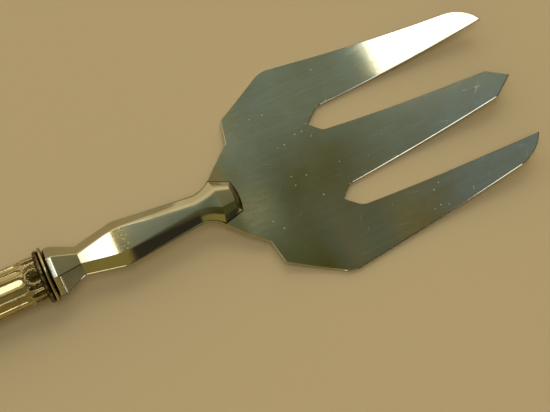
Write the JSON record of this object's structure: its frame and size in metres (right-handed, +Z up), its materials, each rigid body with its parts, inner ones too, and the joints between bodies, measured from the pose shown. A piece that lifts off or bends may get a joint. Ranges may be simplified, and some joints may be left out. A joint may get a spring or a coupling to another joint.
{
  "type": "serving fork",
  "caption": "Broad flat serving fork with sweeping tines, a faceted polished hollow shank, a ringed collar and a fluted silver hollow handle, lying face up on a table.",
  "frame": {"origin": "middle of the bounding box, on the table that the fork lies on", "axes": "+X along the fork from the butt of the handle to the tines, +Y across the tines, +Z up out of the palm"},
  "size_m": [0.2508, 0.0654, 0.0156],
  "materials": {
    "satin_steel": "satin rolled stainless sheet with a fine grain along the tines and light scratches",
    "polished_steel": "polished stainless pressing with faint orange peel",
    "plain_steel": "plain drawn bar, hidden",
    "collar_silver": "polished silver with dark tarnish in the grooves",
    "handle_silver": "polished silver stamping, fluted, with dark tarnish in the recesses",
    "filler_resin": "set resin cement, hidden"
  },
  "bodies": {
    "root": {"fork_plate": "satin_steel", "shank_cover": "polished_steel", "tang": "plain_steel", "mouth_plate": "collar_silver", "ferrule": "collar_silver", "handle_upper_half": "handle_silver", "handle_lower_half": "handle_silver", "handle_filler": "filler_resin"}
  },
  "joints": []
}
